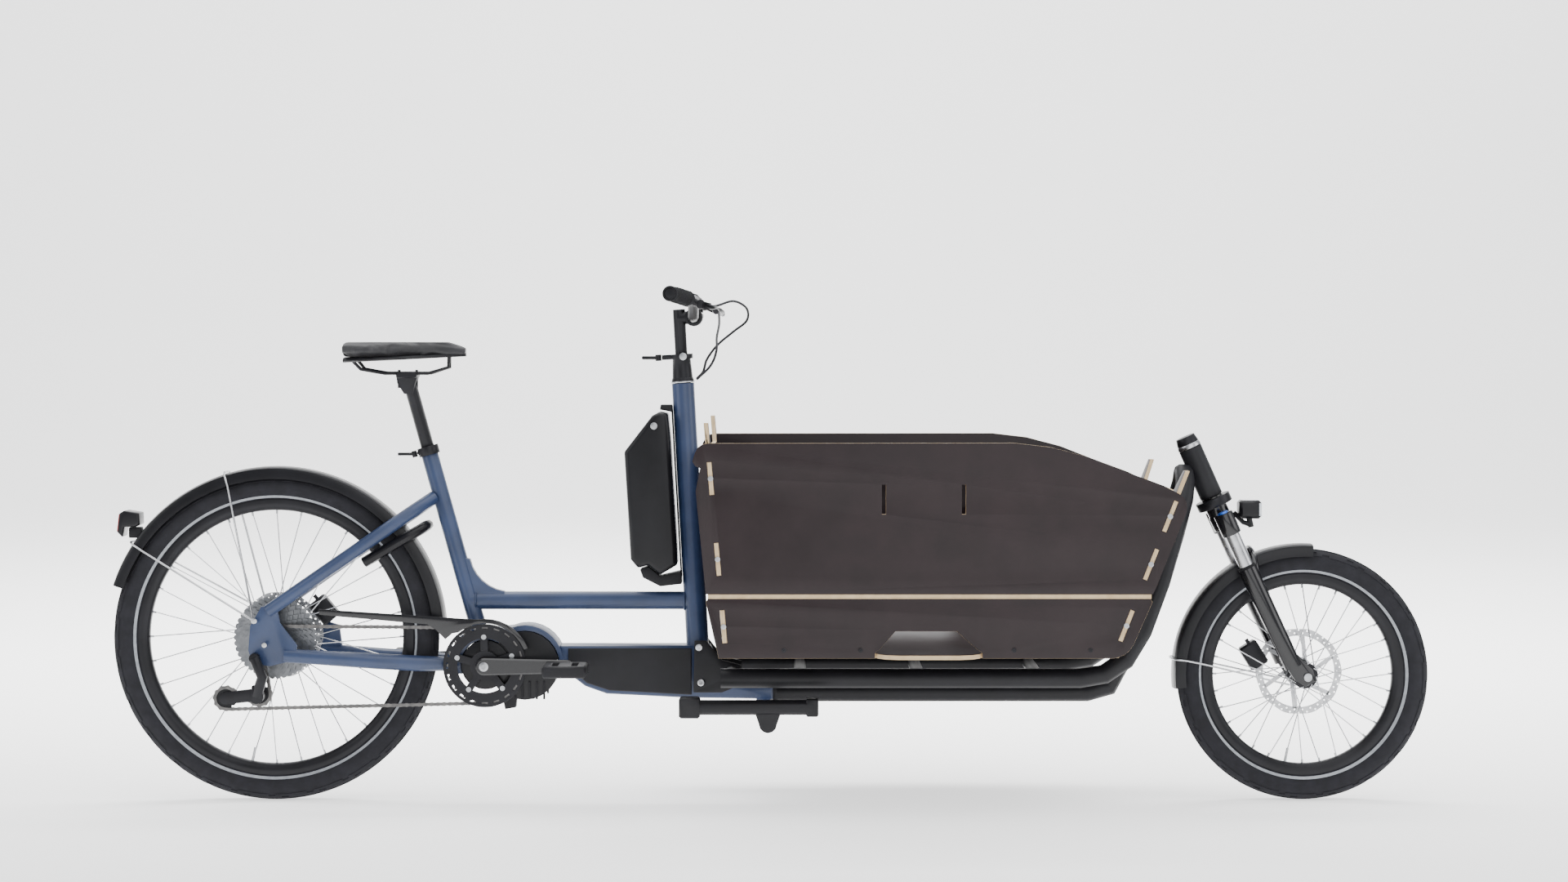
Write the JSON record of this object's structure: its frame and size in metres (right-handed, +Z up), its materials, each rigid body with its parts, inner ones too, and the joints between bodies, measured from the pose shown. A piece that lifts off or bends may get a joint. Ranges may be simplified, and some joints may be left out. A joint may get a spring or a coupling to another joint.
{
  "type": "front-loading cargo bicycle",
  "caption": "Two-wheeled front-loading electric cargo bicycle with an open plywood box ahead of the rider and linkage steering to a small front wheel.",
  "frame": {"origin": "on the ground under the middle of the bicycle's length, in its plane of symmetry", "axes": "+X forwards towards the small front wheel, +Y to the rider's left, +Z up"},
  "size_m": [2.703, 0.6764, 1.0511],
  "materials": {
    "blue_frame": "satin blue powder coat",
    "black_frame": "satin black powder coat",
    "black_plastic": "matt moulded plastic",
    "plywood": "dark brown film-faced plywood with pale edges",
    "tyre": "matt black with a grey sidewall stripe",
    "rubber": "matt black",
    "steel": "bright steel",
    "chain_steel": "oiled dark steel",
    "black_alloy": "satin black anodised",
    "red_lens": "clear red",
    "saddle_cover": "matt black synthetic cover"
  },
  "bodies": {
    "frame": {"rear_frame": "blue_frame", "keel_cover_right": "black_plastic", "keel_cover_left": "black_plastic", "front_frame": "black_frame", "side_upper_right": "plywood", "side_upper_left": "plywood", "side_lower_right": "plywood", "side_lower_left": "plywood", "floor_board": "plywood", "mid_frame": "plywood", "rear_board": "plywood", "front_board": "plywood", "rear_caliper": "black_alloy", "motor_unit": "black_plastic", "chain": "chain_steel", "chain_guard": "black_plastic", "rear_derailleur": "black_plastic", "rear_fender": "black_plastic", "rear_fender_stays": "steel", "tail_light": "red_lens", "ring_lock": "black_plastic", "seat_clamp": "black_alloy", "battery_rail": "black_plastic"},
    "rear_wheel": {"rear_tyre": "tyre", "rear_rim": "black_alloy", "rear_hub": "steel", "rear_rotor": "steel"},
    "cassette": {"cassette": "steel"},
    "crankset": {"chainring": "black_alloy", "crank_right": "black_alloy", "crank_left": "black_alloy"},
    "pedal_right": {"pedal_right": "black_plastic"},
    "pedal_left": {"pedal_left": "black_plastic"},
    "jockey_upper": {"jockey_upper": "black_plastic"},
    "jockey_lower": {"jockey_lower": "black_plastic"},
    "steering": {"stem_sleeve": "black_alloy"},
    "stem_lever": {"stem_lever": "black_alloy"},
    "handlebar": {"stem_tube": "black_alloy", "handlebar": "black_alloy", "grip_right": "rubber", "grip_left": "rubber", "hose_right": "rubber", "hose_left": "rubber"},
    "brake_lever_right": {"brake_lever_right": "black_alloy"},
    "brake_lever_left": {"brake_lever_left": "black_alloy"},
    "fork": {"fork_upper": "black_frame", "headlight": "black_plastic"},
    "fork_lowers": {"fork_lowers": "black_frame", "front_fender": "black_plastic", "front_caliper": "black_alloy"},
    "front_wheel": {"front_tyre": "tyre", "front_rim": "black_alloy", "front_hub": "steel", "front_rotor": "steel"},
    "seat": {"seatpost": "black_alloy", "saddle_frame": "black_plastic", "saddle_pad": "saddle_cover"},
    "seat_lever": {"seat_lever": "black_alloy"},
    "battery": {"battery": "black_plastic"},
    "kickstand": {"kickstand": "black_frame"}
  },
  "joints": [
    {"name": "rear_wheel_spin", "type": "hinge", "parent": "frame", "child": "rear_wheel", "pos_m": [-1.017, 0, 0.3345], "axis": [0, 1, 0], "continuous": true},
    {"name": "cassette_spin", "type": "hinge", "parent": "frame", "child": "cassette", "pos_m": [-1.017, -0.04, 0.3345], "axis": [0, 1, 0], "continuous": true},
    {"name": "crank_turn", "type": "hinge", "parent": "frame", "child": "crankset", "pos_m": [-0.583, 0, 0.281], "axis": [0, 1, 0], "continuous": true},
    {"name": "pedal_right_spin", "type": "hinge", "parent": "crankset", "child": "pedal_right", "pos_m": [-0.413, -0.135, 0.281], "axis": [0, 1, 0], "continuous": true},
    {"name": "pedal_left_spin", "type": "hinge", "parent": "crankset", "child": "pedal_left", "pos_m": [-0.753, 0.135, 0.281], "axis": [0, 1, 0], "continuous": true},
    {"name": "jockey_upper_spin", "type": "hinge", "parent": "frame", "child": "jockey_upper", "pos_m": [-1.043, -0.054, 0.222], "axis": [0, 1, 0], "continuous": true},
    {"name": "jockey_lower_spin", "type": "hinge", "parent": "frame", "child": "jockey_lower", "pos_m": [-1.112, -0.054, 0.214], "axis": [0, 1, 0], "continuous": true},
    {"name": "steering_turn", "type": "hinge", "parent": "frame", "child": "steering", "pos_m": [-0.181, 0, 0.856], "axis": [-0.0562, 0, 0.9984], "range_deg": [-50, 50]},
    {"name": "stem_lever_open", "type": "hinge", "parent": "steering", "child": "stem_lever", "pos_m": [-0.2315, 0, 0.9082], "axis": [-0.0562, 0, 0.9984], "range_deg": [0, 90]},
    {"name": "bar_height", "type": "slide", "parent": "steering", "child": "handlebar", "axis": [-0.0562, 0, 0.9984], "range_m": [-0.05, 0.06], "deforming": ["hose_right", "hose_left"]},
    {"name": "brake_lever_right_pull", "type": "hinge", "parent": "handlebar", "child": "brake_lever_right", "pos_m": [-0.1256, -0.215, 1.0122], "axis": [0, 0, -1], "range_deg": [0, 20], "stiffness_Nm_per_rad": 2, "springref_deg": -8.59},
    {"name": "brake_lever_left_pull", "type": "hinge", "parent": "handlebar", "child": "brake_lever_left", "pos_m": [-0.1256, 0.215, 1.0122], "axis": [0, 0, 1], "range_deg": [0, 20], "stiffness_Nm_per_rad": 2, "springref_deg": -8.59},
    {"name": "fork_turn", "type": "hinge", "parent": "frame", "child": "fork", "pos_m": [0.928, 0, 0.576], "axis": [-0.4067, 0, 0.9135], "range_deg": [-50, 50]},
    {"name": "fork_travel", "type": "slide", "parent": "fork", "child": "fork_lowers", "axis": [-0.4067, 0, 0.9135], "range_m": [0, 0.04], "stiffness_N_per_m": 9000, "springref_m": -0.03},
    {"name": "front_wheel_spin", "type": "hinge", "parent": "fork_lowers", "child": "front_wheel", "pos_m": [1.0935, 0, 0.258], "axis": [0, 1, 0], "continuous": true},
    {"name": "seat_height", "type": "slide", "parent": "frame", "child": "seat", "axis": [-0.2707, 0, 0.9627], "range_m": [-0.085, 0.05]},
    {"name": "seat_lever_open", "type": "hinge", "parent": "frame", "child": "seat_lever", "pos_m": [-0.7338, 0, 0.71], "axis": [-0.2707, 0, 0.9627], "range_deg": [0, 90]},
    {"name": "battery_tilt", "type": "hinge", "parent": "frame", "child": "battery", "pos_m": [-0.252, 0, 0.47], "axis": [0, -1, 0], "range_deg": [0, 21]},
    {"name": "stand_fold", "type": "hinge", "parent": "frame", "child": "kickstand", "pos_m": [-0.005, 0, 0.181], "axis": [0, -1, 0], "range_deg": [0, 110], "stiffness_Nm_per_rad": 3, "springref_deg": -28.65}
  ],
  "couplings": [
    {"joint": "cassette_spin", "follows": "crank_turn", "ratio": 2.9231},
    {"joint": "jockey_upper_spin", "follows": "crank_turn", "ratio": -3.4545},
    {"joint": "jockey_lower_spin", "follows": "crank_turn", "ratio": 3.4545},
    {"joint": "fork_turn", "follows": "steering_turn", "ratio": 1}
  ]
}
